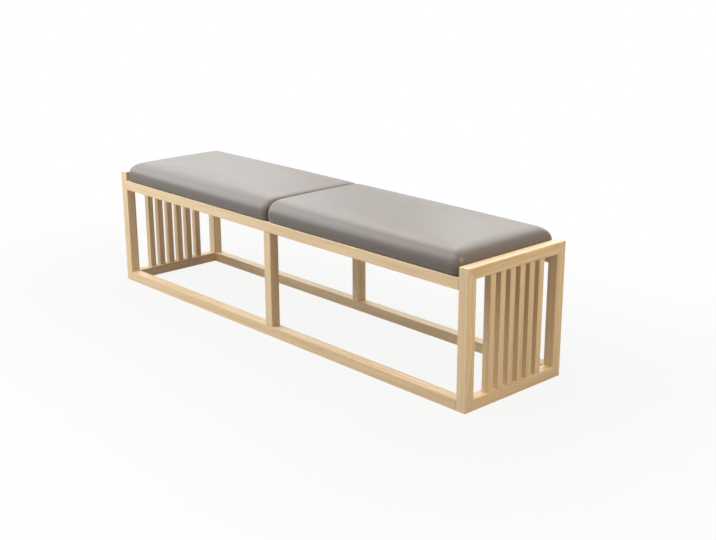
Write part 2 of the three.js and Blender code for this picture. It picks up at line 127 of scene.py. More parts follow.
class BenchStageSettings(PropertyGroup):
    """The camera, the floor and the lights."""

    azimuth: FloatProperty(
        name="Azimuth",
        description="Where the camera stands, turned from the front of the bench to its right end",
        default=math.radians(47.33),
        subtype="ANGLE",
    )
    elevation: FloatProperty(
        name="Elevation",
        description="How far the camera looks down",
        default=math.radians(16.94),
        subtype="ANGLE",
    )
    roll: FloatProperty(
        name="Roll",
        description="Turn of the picture about its middle",
        default=math.radians(-0.19),
        subtype="ANGLE",
    )
    target: place("Target", "The point at the middle of the picture", (-0.2221, 0.3842, 0.0444))
    distance: length("Distance", "From the camera to the target", 4141.1)
    lens: FloatProperty(
        name="Lens",
        description="Focal length on a sensor 36 mm wide",
        default=57.98,
        subtype="DISTANCE_CAMERA",
    )
    floor_span: length("Floor Span", "Width of the square floor", 40000)
    floor_colour: colour("Floor Colour", "Pale warm paper of the floor", (0.335, 0.31, 0.27))
    floor_glow: share("Floor Glow", "Share of the floor by the bench that is plain white to the camera", 0.9)
    shadow_reach: length("Shadow Reach", "From the bench to where the floor is all white", 1300)
    ambient: share("Ambient", "Strength of the world on diffuse surfaces", 0.02, 5.0)
    key_power: power("Key Power", "Soft box above the front of the bench", 48.0)
    key_size: length("Key Size", "Side of the key's soft box", 1600)
    key_place: place("Key Place", "Middle of the key's soft box", (-0.3, -1.2, 3.0))
    key_colour: colour("Key Colour", "Colour of the key's light", (1.0, 1.0, 1.0))
    front_power: power("Front Power", "Soft box at the left of the front", 110.0)
    front_size: length("Front Size", "Side of the front soft box", 3000)
    front_place: place("Front Place", "Middle of the front soft box", (-2.5, -1.7, 2.1))
    front_colour: colour("Front Colour", "Colour of the front light", (0.87, 0.945, 1.0))
    fill_power: power("Fill Power", "Soft box low in front of the right half", 29.0)
    fill_size: length("Fill Size", "Side of the fill's soft box", 3200)
    fill_place: place("Fill Place", "Middle of the fill's soft box", (0.4, -3.4, 1.5))
    fill_colour: colour("Fill Colour", "Colour of the fill light", (0.94, 0.97, 1.0))
    right_power: power("Right Power", "Soft box at the right end", 64.0)
    right_size: length("Right Size", "Side of the right soft box", 1500)
    right_place: place("Right Place", "Middle of the right soft box", (2.8, 0.1, 2.4))
    right_colour: colour("Right Colour", "Colour of the right light", (1.0, 0.9, 0.71))
    left_power: power("Left Power", "Soft box at the left end, for the sheen of the pads", 25.0)
    left_size: length("Left Size", "Side of the left soft box", 2600)
    left_place: place("Left Place", "Middle of the left soft box", (-2.8, 1.0, 2.3))
    left_colour: colour("Left Colour", "Colour of the left light", (0.93, 0.97, 1.0))
    top_power: power("Top Power", "Soft box high above the left pad", 32.0)
    top_size: length("Top Size", "Side of the top soft box", 1800)
    top_place: place("Top Place", "Middle of the top soft box", (-1.3, 1.1, 3.0))
    top_colour: colour("Top Colour", "Colour of the top light", (1.0, 1.0, 1.0))
    back_power: power("Back Power", "Soft box behind the bench", 24.0)
    back_size: length("Back Size", "Side of the back soft box", 2000)
    back_place: place("Back Place", "Middle of the back soft box", (-0.6, 2.2, 2.2))
    back_colour: colour("Back Colour", "Colour of the back light", (1.0, 1.0, 1.0))


class BenchWoodSettings(PropertyGroup):
    """Timbers and their finish."""

    ash_pale: colour("Ash Late Wood", "The smooth pale bands of the ash", (0.82, 0.605, 0.356))
    ash_dark: colour("Ash Early Wood", "The open-pored bands of the ash", (0.62, 0.418, 0.21))
    ash_pore: colour("Ash Pores", "Short strokes of the ash's pores", (0.42, 0.25, 0.105))
    ring_spacing: length("Ring Spacing", "From one growth ring of the ash to the next", 3.6)
    # The dark line along each glued joint is partly glue and partly painted shade of the joint's gap
    seam_width: length("Seam Width", "Soft dark edge beside a glued joint", 0.9)
    seam_glue_and_shade: share("Seam Shade", "How dark a glued joint is", 0.2)
    lacquer: share("Lacquer", "Weight of the clear satin coat on the ash", 0.6)
    beech_pale: colour("Beech", "Ground of the bearers, cleats and joinery", (0.58, 0.36, 0.185))
    beech_fleck: colour("Beech Flecks", "Short rays of the beech", (0.36, 0.20, 0.09))
    veneer_pale: colour("Veneer", "Pale bands of the plywood's face", (0.62, 0.43, 0.235))
    veneer_dark: colour("Veneer Figure", "Dark bands of the plywood's face", (0.47, 0.295, 0.14))
    ply_spacing: length("Ply Spacing", "Thickness of one sheet of veneer", 1.5)


class BenchPadSettings(PropertyGroup):
    """The upholstered pads."""

    edge_round: length("Edge Round", "Round edge at the front, back and outer end, seen from above", 66)
    edge_rise: length("Edge Rise", "Height of that round edge", 44.5)
    edge_fullness: FloatProperty(
        name="Edge Fullness",
        description="How boxy the round edge is: 2 makes an ellipse, and more comes nearer to a square",
        default=2.45,
        min=2.0,
    )
    corner_round: length("Corner Round", "Radius of an outer corner, seen from above", 26)
    pad_height: length("Pad Height", "Long rail to the edge of a pad's top", 67)
    joint_round: length("Joint Round", "Round edge where the pads meet, seen from above", 20)
    joint_drop: length("Joint Drop", "Height of that round edge", 14)
    joint_set: length("Joint Set", "How far a pad's face at the joint is set back from its space", 2)
    crown: length("Crown", "Swell of a pad's top at its middle before it is blown up", 6)
    end_crown: length("End Crown", "Swell halfway along the ends of a pad's top", 1.2)
    belly: length("Belly", "How far the sides swell past their foot", 8)
    corner_pull: length("Corner Pull", "How far the sides are drawn in again at the outer corners", 4)
    cover_thickness: length("Cover Thickness", "Thickness of the leathercloth", 1.2)
    hem_setback: length("Hem Setback", "Edge of the hem to the inner face of a long rail", 4)
    hem_lift: length("Hem Lift", "Underside of the hem above the long rail", 0.25)
    foot_round: length("Foot Round", "Radius where the cover turns under", 9)
    pressure: share("Pressure", "Pressure that swells the cover", 0.2, 50.0)
    swell_limit: length("Swell Limit", "The most that the pressure may move a point", 4.5)
    swell_frames: IntProperty(name="Swell Frames", description="Steps of the swelling", default=20, min=1)
    leathercloth: colour("Leathercloth", "Ground colour of the covers", (0.15, 0.125, 0.108))
    leather_dark: colour("Leathercloth Creases", "Colour between the grain's pebbles", (0.107, 0.087, 0.075))
    gloss: share("Gloss", "Weight of the clear satin topcoat of the leathercloth", 0.8)
    grain_size: length("Grain Size", "Width of one pebble of the grain", 1.4)
    foam_colour: colour("Foam", "Colour of the foam cores", (0.78, 0.71, 0.52))
    staple_spacing: length("Staple Spacing", "From one staple of the hem to the next", 46)
    staple_length: length("Staple Length", "Crown of a staple", 10)
    staple_wire: length("Staple Wire", "Width of a staple's wire", 1.2)


# Node trees


class Wire:
    """A socket's number. Python's operators on it add Math nodes."""

    def __init__(self, tree, socket):
        self.tree = tree
        self.socket = socket

    def math(self, operation, *others):
        return self.tree.maths(operation, self, *others)

    def __add__(self, other):
        return self.math("ADD", other)

    def __sub__(self, other):
        return self.math("SUBTRACT", other)

    def __rsub__(self, other):
        return self.tree.maths("SUBTRACT", other, self)

    def __mul__(self, other):
        return self.math("MULTIPLY", other)

    def __truediv__(self, other):
        return self.math("DIVIDE", other)

    def __rtruediv__(self, other):
        return self.tree.maths("DIVIDE", other, self)

    def __abs__(self):
        return self.math("ABSOLUTE")

    __radd__ = __add__
    __rmul__ = __mul__


class NodeTree:
    """Adds nodes to a tree; a value that goes into a socket is a number, a colour or a Wire."""

    def __init__(self, tree):
        self.tree = tree

    def node(self, kind, settings=(), inputs=(), output=0):
        made = self.tree.nodes.new(kind)
        for name, value in dict(settings).items():
            setattr(made, name, value)
        for key, value in dict(inputs).items():
            self.feed(made.inputs[key], value)
        return Wire(self, made.outputs[output])

    def feed(self, socket, value):
        if isinstance(value, Wire):
            self.tree.links.new(value.socket, socket)
        else:
            socket.default_value = value

    def maths(self, operation, *values):
        return self.node("ShaderNodeMath", {"operation": operation}, dict(enumerate(values)))

    def xyz(self, vector):
        return [self.node("ShaderNodeSeparateXYZ", inputs={0: vector}, output=i) for i in range(3)]

    def vector(self, x, y, z):
        return self.node("ShaderNodeCombineXYZ", inputs={0: x, 1: y, 2: z})

    def shifted(self, vector, shift):
        return self.node("ShaderNodeVectorMath", {"operation": "ADD"}, {0: vector, 1: shift})

    def noise(self, vector, scale, detail):
        sockets = {"Vector": vector, "Scale": scale, "Detail": detail}
        return self.node("ShaderNodeTexNoise", inputs=sockets)

    def smooth(self, value, low, high):
        """0 below low, 1 above high and an S curve between."""
        settings = {"interpolation_type": "SMOOTHSTEP"}
        sockets = {"Value": value, "From Min": low, "From Max": high}
        return self.node("ShaderNodeMapRange", settings, sockets)

    def blend(self, factor, colour_a, colour_b):
        sockets = {0: factor, MIX_COLOUR_A: colour_a, MIX_COLOUR_B: colour_b}
        return self.node("ShaderNodeMix", {"data_type": "RGBA"}, sockets, MIX_COLOUR_RESULT)

    def bump(self, height, strength, distance):
        sockets = {"Strength": strength, "Distance": distance, "Height": height}
        return self.node("ShaderNodeBump", inputs=sockets)


class Finish(NodeTree):
    """A material with the nodes that feed its Principled shader."""

    def __init__(self, name):
        self.material = bpy.data.materials.new(name)
        self.material.use_nodes = True
        super().__init__(self.material.node_tree)
        self.shader = self.tree.nodes["Principled BSDF"]

    def surface(self, **sockets):
        """Feeds the shader's sockets, whose names are written with underscores."""
        for name, value in sockets.items():
            self.feed(self.shader.inputs[name.replace("_", " ").title().replace("Ior", "IOR")], value)
        return self.material

    def own_place(self, spread):
        """Position on the object, the same with each piece's own shift, and the piece's random number."""
        position = self.node("ShaderNodeTexCoord", output="Object")
        chance = self.node("ShaderNodeObjectInfo", output="Random")
        shift = self.vector(*(chance * (spread * ratio) for ratio in SHIFT_RATIOS))
        return position, self.shifted(position, shift), chance


def opaque(rgb):
    return (*rgb, 1.0)


# Timber. Strands of a grain are counted per metre along it and across it, and then comes their detail.

RING_WANDER = (1.6, 7.0, 3.0)
ASH_FIBRE = (9.0, 900.0, 2.0)
ASH_PORES = (60.0, 1500.0, 1.0)
ASH_STREAKS = (2.2, 85.0, 2.0)
BEECH_FIBRE = (12.0, 700.0, 2.0)
BEECH_RAYS = (130.0, 800.0, 1.0)
BEECH_BROAD = (3.0, 60.0, 2.0)
VENEER_WANDER = (1.2, 5.0, 3.0)
VENEER_FIBRE = (10.0, 600.0, 2.0)
PORE_RANGE = (0.60, 0.70)  # values of a noise between which what it draws comes in
STREAK_RANGE = (0.35, 0.75)
RAY_RANGE = (0.58, 0.68)
BAND_RANGE = (0.35, 0.65)
EARLY_START = (0.0, 0.12)  # shares of a growth ring between which its early wood comes in
EARLY_END = (0.2, 0.75)  # and goes out
PLY_RANGE = (0.22, 0.28)  # shares of two plies between which one gives way to the other
EDGE_RANGE = (0.3, 0.7)  # upward parts of a normal between which a board's edge gives way to its face
EARLY_SHARE = 0.42  # shares of the ash's dark figure
FIBRE_SHARE = 0.55
STREAK_SHARE = 0.55
MEMBER_SHARE = 0.22
RING_DRIFT = 34 * MILLIMETRE  # how far a growth ring wanders
# Colour of the painted shade and glue along a joint
SEAM_GLUE_AND_SHADE_DARKNESS = 0.22  # as a share of the pores' colour


def grain_axes(axis, xyz):
    """The coordinates along the grain and the two across it."""
    order = {"x": (0, 1, 2), "y": (1, 0, 2), "z": (2, 0, 1)}[axis]
    return [xyz[i] for i in order]


def strands(mk, axes, grain):
    """Noise that is drawn out along the grain."""
    along, across, other = axes
    lengthways, crossways, detail = grain
    return mk.noise(mk.vector(along * lengthways, across * crossways, other * crossways), 1.0, detail)


def ash_finish(name, wood, axis, seam_distance):
    """Lacquered ash with its grain along an axis. seam_distance gives how far a point is from a joint."""
    mk = Finish(name)
    position, moved, chance = mk.own_place(spread=3.1)
    axes = grain_axes(axis, mk.xyz(moved))
    _, across, other = axes

    # Growth rings, which lean another way on each member and wander along it
    lean = chance * (2 * math.pi)
    wander = strands(mk, axes, RING_WANDER) - 0.5
    depth = across * lean.math("COSINE") + other * lean.math("SINE") + wander * RING_DRIFT
    phase = (depth / wood.ring_spacing).math("FRACT")
    early = mk.smooth(phase, *EARLY_START) * (1 - mk.smooth(phase, *EARLY_END))

    # Fibres, pores and broad streaks, all drawn out along the grain
    fibre = strands(mk, axes, ASH_FIBRE)
    pores = mk.smooth(strands(mk, axes, ASH_PORES), *PORE_RANGE) * (early * 0.8 + 0.12)
    streak = mk.smooth(strands(mk, axes, ASH_STREAKS), *STREAK_RANGE)
    figure = early * EARLY_SHARE + (fibre - 0.5) * FIBRE_SHARE + streak * STREAK_SHARE
    figure = figure + (chance - 0.5) * MEMBER_SHARE
    figure = figure.math("MAXIMUM", 0.0).math("MINIMUM", 1.0)
    timber = mk.blend(figure, opaque(wood.ash_pale), opaque(wood.ash_dark))
    timber = mk.blend(pores * 0.55, timber, opaque(wood.ash_pore))

    # Glued joints: a dark line that is partly the glue and partly painted shade of the gap between the parts
    seam = (1 - mk.smooth(seam_distance(mk, position), 0.0, wood.seam_width)) * wood.seam_glue_and_shade
    timber = mk.blend(seam, timber, opaque([channel * SEAM_GLUE_AND_SHADE_DARKNESS for channel in wood.ash_pore]))

    return mk.surface(
        base_color=timber,
        roughness=0.5 + (fibre - 0.5) * 0.16 + pores * 0.12,
        coat_weight=wood.lacquer * (1 - pores * 0.4),
        coat_roughness=0.28,
        normal=mk.bump(fibre * 0.3 - pores - seam, strength=0.3, distance=0.25 * MILLIMETRE),
    )


def rail_seam(mk, position):
    """Distance to the end frames, which the long rails butt against."""
    return INNER_X - abs(mk.xyz(position)[0])


def mitre_seam(mk, position):
    """Distance to the nearest mitre of an end frame."""
    _, y, z = mk.xyz(position)
    from_floor = z.math("MINIMUM", END_HEIGHT - z)
    return abs(HALF_DEPTH - abs(y) - from_floor) * math.sqrt(0.5)


def shoulder_seam(low, high):
    """Distance to the shoulders of an upright between two heights."""

    def distance(mk, position):
        z = mk.xyz(position)[2]
        return (z - low).math("MINIMUM", high - z)

    return distance


def beech_finish(name, wood, axis):
    """Bare beech with short dark rays."""
    mk = Finish(name)
    _, moved, chance = mk.own_place(spread=2.3)
    axes = grain_axes(axis, mk.xyz(moved))
    fibre = strands(mk, axes, BEECH_FIBRE)
    rays = mk.smooth(strands(mk, axes, BEECH_RAYS), *RAY_RANGE)
    broad = strands(mk, axes, BEECH_BROAD)
    tone = mk.blend(rays * 0.5 + (fibre - 0.4) * 0.5, opaque(wood.beech_pale), opaque(wood.beech_fleck))
    tone = mk.blend((broad - 0.3) * 0.4 + chance * 0.1, tone, opaque(wood.beech_fleck))
    return mk.surface(
        base_color=tone,
        roughness=0.6 + (fibre - 0.5) * 0.15,
        normal=mk.bump(fibre * 0.4 - rays, strength=0.25, distance=0.2 * MILLIMETRE),
    )


def plywood_finish(wood):
    """Rotary-cut face veneer, with the plies showing at the edges."""
    mk = Finish("plywood_board")
    position, moved, _ = mk.own_place(spread=1.9)
    x, y, _ = mk.xyz(moved)
    z = mk.xyz(position)[2]
    wander = strands(mk, (x, y, 0.0), VENEER_WANDER)
    bands = mk.smooth(mk.noise(mk.vector(wander * 14.0, y * 9.0, 0.5), 1.0, 3.0), *BAND_RANGE)
    fibre = strands(mk, (x, y, 0.0), VENEER_FIBRE)
    layer = (z - RAIL_TOP - BOARD_BASE) / (2 * wood.ply_spacing)
    crossing = mk.smooth(abs(layer.math("FRACT") - 0.5), *PLY_RANGE)
    face = mk.node("ShaderNodeNewGeometry", output="Normal")
    edge = 1 - mk.smooth(abs(mk.xyz(face)[2]), *EDGE_RANGE)
    figure = bands * 0.6 + (fibre - 0.5) * 0.5 + crossing * edge * 0.7
    return mk.surface(
        base_color=mk.blend(figure, opaque(wood.veneer_pale), opaque(wood.veneer_dark)),
        roughness=0.66 + (fibre - 0.5) * 0.2,
        normal=mk.bump(fibre, strength=0.2, distance=0.2 * MILLIMETRE),
    )


def dress(node, finish):
    """Gives a node of the packed model a finish."""
    piece = NODES[node]
    piece.data.materials.clear()
    piece.data.materials.append(finish)


# Upholstery materials. A pattern's scale is per metre.

GRAIN_WARP = 1.2  # how far the pebbles are pushed out of line, in pebbles
GRAIN_WARP_SCALE = 260.0
CREASE_RANGE = (0.38, 0.72)  # distances from a pebble's middle between which the crease comes in
LEATHER_CLOUD_SCALE = 7.0
LEATHER_PORE_SCALE = 2600.0
FOAM_CELL_SCALE = 620.0
FOAM_CELL_RANGE = (0.3, 0.62)
FOAM_CLOUD_SCALE = 12.0
FOAM_DARKNESS = 0.6
ZINC_SCALE = 400.0
ZINC_BRIGHT = (0.55, 0.55, 0.56, 1.0)
ZINC_DULL = (0.40, 0.40, 0.42, 1.0)


def leathercloth_finish(pads):
    """Satin coated cloth with a fine pebbled grain."""
    mk = Finish("leathercloth_taupe")
    _, moved, _ = mk.own_place(spread=1.3)
    uneven = mk.noise(moved, GRAIN_WARP_SCALE, 3.0) * (GRAIN_WARP * pads.grain_size)
    warped = mk.shifted(moved, mk.vector(uneven, uneven, uneven))
    cells = {"Vector": warped, "Scale": 1 / pads.grain_size, "Randomness": 1.0}
    pebble = mk.node("ShaderNodeTexVoronoi", {"feature": "SMOOTH_F1"}, cells, "Distance")
    crease = mk.smooth(pebble, *CREASE_RANGE)
    cloud = mk.noise(moved, LEATHER_CLOUD_SCALE, 3.0)
    pores = mk.noise(moved, LEATHER_PORE_SCALE, 1.0)
    darkening = crease * 0.55 + (cloud - 0.5) * 0.35
    return mk.surface(
        base_color=mk.blend(darkening, opaque(pads.leathercloth), opaque(pads.leather_dark)),
        roughness=0.42 + crease * 0.08 + (cloud - 0.5) * 0.08,
        specular_ior_level=0.2,
        coat_weight=pads.gloss,
        coat_roughness=0.36,
        coat_ior=1.3,
        normal=mk.bump((1 - crease) * 0.8 + pores * 0.2, strength=0.22, distance=0.12 * MILLIMETRE),
    )


def foam_finish(pads):
    """Open-cell seating foam."""
    mk = Finish("seat_foam")
    _, moved, _ = mk.own_place(spread=0.9)
    cells = {"Vector": moved, "Scale": FOAM_CELL_SCALE}
    wall = mk.node("ShaderNodeTexVoronoi", inputs=cells, output="Distance")
    open_cell = mk.smooth(wall, *FOAM_CELL_RANGE)
    cloud = mk.noise(moved, FOAM_CLOUD_SCALE, 2.0)
    dark = opaque([channel * FOAM_DARKNESS for channel in pads.foam_colour])
    darkening = (1 - open_cell) * 0.5 + (cloud - 0.5) * 0.3
    return mk.surface(
        base_color=mk.blend(darkening, opaque(pads.foam_colour), dark),
        roughness=0.9 + (cloud - 0.5) * 0.1,
        normal=mk.bump(open_cell, strength=0.6, distance=0.6 * MILLIMETRE),
    )


def steel_finish():
    """Zinc-plated wire of the staples."""
    mk = Finish("staple_steel")
    _, moved, _ = mk.own_place(spread=0.7)
    dull = mk.noise(moved, ZINC_SCALE, 3.0)
    return mk.surface(
        base_color=mk.blend(dull, ZINC_BRIGHT, ZINC_DULL),
        metallic=1.0,
        roughness=0.3 + dull * 0.25,
    )


# Form of a pad. Its own x runs from the joint outwards, and its z from the top of the long rails.

EDGE_ROWS = 12
WALL_ROWS = 5
JOINT_ROWS = 7
FOOT_ROWS = 5
HEM_ROWS = 4
PLAIN_STEP = 13 * MILLIMETRE  # from one line of the mesh to the next
CORNER_STEP = 4 * MILLIMETRE  # and near an outer corner
CORNER_REACH = 60 * MILLIMETRE
MERGE_DISTANCE = 0.05 * MILLIMETRE
CORNER_FADE = 0.35  # how soon the rounding of a corner gives way to the mitre of the round edges
PULL_POWER = 4  # how near to the outer corners the sides are drawn in


def clamp(value):
    return min(max(value, 0.0), 1.0)


def graded(reach):
    """Shares of a length from 0 to 1 in plain steps, which get short near its end, the outer corner."""
    plain = math.ceil((reach - CORNER_REACH) / PLAIN_STEP)
    short = math.ceil(CORNER_REACH / CORNER_STEP)
    bend = 1 - CORNER_REACH / reach
    before = [bend * i / plain for i in range(plain)]
    return before + [bend + (1 - bend) * i / short for i in range(short + 1)]


def round_run(way, straight, radius):
    """How far along and how far in a point lies at a share of a straight line and half its corner's arc."""
    run = way * (straight + radius * QUARTER_TURN / 2)
    turn = max(run - straight, 0.0) / radius if radius else 0.0
    return min(run, straight) + radius * math.sin(turn), radius * (1 - math.cos(turn))


class Station(NamedTuple):
    """A place on a pad's outline, where a column of points runs down."""

    side: int  # -1 at the front, 1 at the back and 0 at the outer end
    way: float  # from 0 at the joint to 1 at the corner, or from -1 to 1 along the outer end
    joint_x: float | None = None  # x on the round edge at the joint
    shrink: float = 0.0  # how much smaller the other round edges are there


class PadForm:
    """Where the points of a pad's surface lie, drawn in by an inset for the core inside the cover."""

    def __init__(self, pads, inset=0.0, base=None):
        self.pads = pads
        self.inset = inset
        self.base = pads.foot_round if base is None else base
        self.wall_top = pads.pad_height - pads.edge_rise
        self.edge = pads.edge_round - inset
        self.bend = 2 / pads.edge_fullness
        self.corner = pads.corner_round - inset
        self.joint_round = pads.joint_round - inset
        self.joint_drop = pads.joint_drop - inset
        self.plain_start = inset + pads.joint_set + self.joint_round

    def crown_at(self, x, y):
        u = 2 * x / PAD_LENGTH - 1
        v = y / PAD_HALF_DEPTH
        pads = self.pads
        return (pads.end_crown + (pads.crown - pads.end_crown) * (1 - u * u)) * (1 - v * v)

    def rim(self, station, deep):
        """A point of the outline that lies deep inside the pad's own."""
        radius = self.corner * (1 - deep / self.edge) ** CORNER_FADE
        end_x = PAD_LENGTH - self.inset - deep
        half_y = PAD_HALF_DEPTH - self.inset - deep
        if station.side:
            along, inwards = round_run(station.way, end_x - radius - self.plain_start, radius)
            return self.plain_start + along, station.side * (half_y - inwards)
        along, inwards = round_run(abs(station.way), half_y - radius, radius)
        return end_x - inwards, math.copysign(along, station.way)

    def half_at(self, x, z):
        """Half the depth of the pad there, as a share of its fullest."""
        pads = self.pads
        belly = pads.belly - pads.corner_pull * (x / PAD_LENGTH) ** PULL_POWER
        upright = math.sin(QUARTER_TURN * min(z / self.wall_top, 1.0))
        return (PAD_HALF_DEPTH - pads.belly + belly * upright) / PAD_HALF_DEPTH

    def edge_point(self, station, turn):
        """A point of the round edge, from 0 at its foot to a quarter turn at the pad's top."""
        across = (self.edge - station.shrink) * math.cos(turn) ** self.bend
        x, y = self.rim(station, self.edge - across)
        if station.joint_x is not None:
            x = station.joint_x
        y *= self.half_at(x, self.wall_top)
        rise = self.pads.edge_rise - self.inset - station.shrink + self.crown_at(x, y)
        return Vector((x, y, self.wall_top + rise * math.sin(turn) ** self.bend))

    def wall_point(self, station, down):
        """A point of the wall below the round edge: down goes from 0 to 1 at the foot."""
        top = self.edge_point(station, 0.0)
        z = self.wall_top + (self.base - self.wall_top) * down
        full = self.half_at(top.x, self.wall_top)
        return Vector((top.x, top.y * self.half_at(top.x, z) / full, z))

    def column(self, station):
        """Points from the pad's top down its round edge and its wall."""
        edge = [self.edge_point(station, QUARTER_TURN * (1 - i / EDGE_ROWS)) for i in range(EDGE_ROWS + 1)]
        return edge + [self.wall_point(station, i / WALL_ROWS) for i in range(1, WALL_ROWS + 1)]

    def long_stations(self, side):
        """From the joint to the outer corner."""
        made = []
        for i in range(JOINT_ROWS):
            turn = QUARTER_TURN * i / JOINT_ROWS
            x = self.plain_start - self.joint_round * math.cos(turn)
            made.append(Station(side, 0.0, x, self.joint_drop * (1 - math.sin(turn))))
        return made + [Station(side, way) for way in graded(PAD_LENGTH)]

    def end_stations(self):
        """Along the outer end, from the front corner to the back corner."""
        half = graded(PAD_HALF_DEPTH)
        return [Station(0, way) for way in [-way for way in reversed(half)] + half[1:]]


def bridge(mesh, lines, closed=False):
    """Quads between neighbouring lines of equally many vertices."""
    for one, two in zip(lines, lines[1:]):
        pairs = list(zip(one, two))
        if closed:
            pairs.append(pairs[0])
        for (a, b), (c, d) in zip(pairs, pairs[1:]):
            mesh.faces.new((a, b, d, c))


def patch(mesh, left, right, top, bottom):
    """A grid of quads inside four lines of vertices: left and right run down, top and bottom run across."""
    rows, columns = len(left) - 1, len(top) - 1
    lines = [top]
    for i in range(1, rows):
        down = i / rows
        line = [left[i]]
        for j in range(1, columns):
            along = j / columns
            spot = (1 - down) * top[j].co + down * bottom[j].co
            spot += (1 - along) * left[i].co + along * right[i].co
            spot -= (1 - down) * ((1 - along) * top[0].co + along * top[-1].co)
            spot -= down * ((1 - along) * bottom[0].co + along * bottom[-1].co)
            line.append(mesh.verts.new(spot))
        lines.append([*line, right[i]])
    lines.append(bottom)
    bridge(mesh, lines)


def inward(loop, i):
    """The direction into a closed loop that is seen anticlockwise from above."""
    ahead = loop[(i + 1) % len(loop)].co - loop[i - 1].co
    return Vector((-ahead.y, ahead.x, 0.0)).normalized()


def pad_skin(form):
    """The skin of a pad down to its foot, and the closed loop of vertices round the foot."""
    mesh = bmesh.new()
    ends = form.end_stations()
    fronts, backs = form.long_stations(-1), form.long_stations(1)
    stations = fronts + ends[1:-1] + backs[::-1]
    columns = [[mesh.verts.new(spot) for spot in form.column(station)] for station in stations]
    bridge(mesh, columns)

    # The top inside the round edge
    sheet = []
    for i, front in enumerate(fronts):
        one, two = columns[i][0], columns[-1 - i][0]
        if i == len(fronts) - 1:
            middle = [column[0] for column in columns[len(fronts) : len(fronts) + len(ends) - 2]]
        else:
            middle = []
            for end in ends[1:-1]:
                x, y = one.co.x, end.way * two.co.y
                z = form.wall_top + form.pads.edge_rise - form.inset - front.shrink + form.crown_at(x, y)
                middle.append(mesh.verts.new((x, y, z)))
        sheet.append([one, *middle, two])
    bridge(mesh, sheet)

    # The flat face at the joint
    front, back = columns[0], columns[-1]
    across = len(sheet[0]) - 1
    foot = [mesh.verts.new(front[-1].co.lerp(back[-1].co, j / across)) for j in range(1, across)]
    patch(mesh, front, back, sheet[0], [front[-1], *foot, back[-1]])
    loop = [down[-1] for down in columns] + foot[::-1]
    return mesh, loop


def hem_lines(pads):
    """Half the depth of the opening that the hem leaves, and the hem's width."""
    hem_y = RAIL_INNER_Y + pads.hem_setback
    return hem_y, PAD_HALF_DEPTH - pads.belly - hem_y


def turn_under(mesh, loop, pads):
    """Turns the cover under the board and ends it in a hem."""
    hem_y, hem = hem_lines(pads)
    into = [inward(loop, i) for i in range(len(loop))]
    lines = [loop]
    radius = pads.foot_round - pads.hem_lift
    for step in range(1, FOOT_ROWS + 1):
        turn = QUARTER_TURN * step / FOOT_ROWS
        drop = Vector((0.0, 0.0, -radius * math.sin(turn)))
        shift = radius * (1 - math.cos(turn))
        lines.append([mesh.verts.new(v.co + drop + shift * way) for v, way in zip(loop, into)])
    edge = lines[-1]
    for step in range(1, HEM_ROWS + 1):
        line = []
        for vertex in edge:
            inner = vertex.co.copy()
            inner.x = min(max(inner.x, hem), PAD_LENGTH - hem)
            inner.y = min(max(inner.y, -hem_y), hem_y)
            line.append(mesh.verts.new(vertex.co.lerp(inner, step / HEM_ROWS)))
        lines.append(line)
    bridge(mesh, lines, closed=True)
    bmesh.ops.remove_doubles(mesh, verts=lines[-1], dist=MERGE_DISTANCE)


def pad_place(side):
    """From a pad's own frame to the bench's: the left pad is the right one turned round."""
    turn = Matrix.Rotation(math.pi if side == "left" else 0.0, 4, "Z")
    return turn @ Matrix.Translation((PAD_START, 0.0, RAIL_TOP))


def pad_object(name, mesh, side, finish):
    """An object of one pad, whose place is in its mesh, as on the packed nodes."""
    bmesh.ops.recalc_face_normals(mesh, faces=mesh.faces)
    data = bpy.data.meshes.new(name)
    mesh.to_mesh(data)
    mesh.free()
    data.transform(pad_place(side))
    data.materials.append(finish)
    data.shade_smooth()
    piece = bpy.data.objects.new(name, data)
    bpy.context.scene.collection.objects.link(piece)
    return piece


CLOTH = {
    "quality": 6,
    "mass": 0.05,
    "tension_stiffness": 80,
    "compression_stiffness": 80,
    "shear_stiffness": 15,
    "bending_stiffness": 5,
    "air_damping": 3,
}
HELD_RISE = 0.5  # share of the round edge's height above which the cloth is free


def held_weight(spot, pads):
    """1 where the cloth is held, at the walls and the joint, and 0 where it is free."""
    up = (spot.z - (pads.pad_height - pads.edge_rise)) / pads.edge_rise
    from_joint = (spot.x - pads.joint_round) / pads.edge_round
    return 1 - clamp(up / HELD_RISE) * clamp(from_joint)


def swell(pads):
    """How far each point of a pad's skin moves when the skin is cloth that is blown up."""
    mesh, _ = pad_skin(PadForm(pads))
    bmesh.ops.recalc_face_normals(mesh, faces=mesh.faces)
    data = bpy.data.meshes.new("swelling")
    mesh.to_mesh(data)
    piece = bpy.data.objects.new("swelling", data)
    scene = bpy.context.scene
    scene.collection.objects.link(piece)
    held = piece.vertex_groups.new(name="held")
    for vertex in data.vertices:
        held.add([vertex.index], held_weight(vertex.co, pads), "REPLACE")
    settings = piece.modifiers.new("swell", "CLOTH").settings
    for name, value in CLOTH.items():
        setattr(settings, name, value)
    settings.vertex_group_mass = held.name
    settings.use_pressure = True
    settings.uniform_pressure_force = pads.pressure
    settings.effector_weights.gravity = 0.0
    for step in range(1, pads.swell_frames + 1):
        scene.frame_set(step)
    swollen = piece.evaluated_get(bpy.context.evaluated_depsgraph_get()).data
    moves = []
    for vertex, after in zip(mesh.verts, swollen.vertices):
        move = after.co - vertex.co
        if move.length > pads.swell_limit:
            move = move.normalized() * pads.swell_limit
        moves.append(move)
    scene.frame_set(1)
    bpy.data.objects.remove(piece)
    bpy.data.meshes.remove(data)
    mesh.free()
    return moves


def swollen_skin(form, moves):
    """A pad's skin with the moves of its swelling, if there are any."""
    mesh, loop = pad_skin(form)
    for vertex, move in zip(mesh.verts, moves):
        vertex.co += move
    return mesh, loop


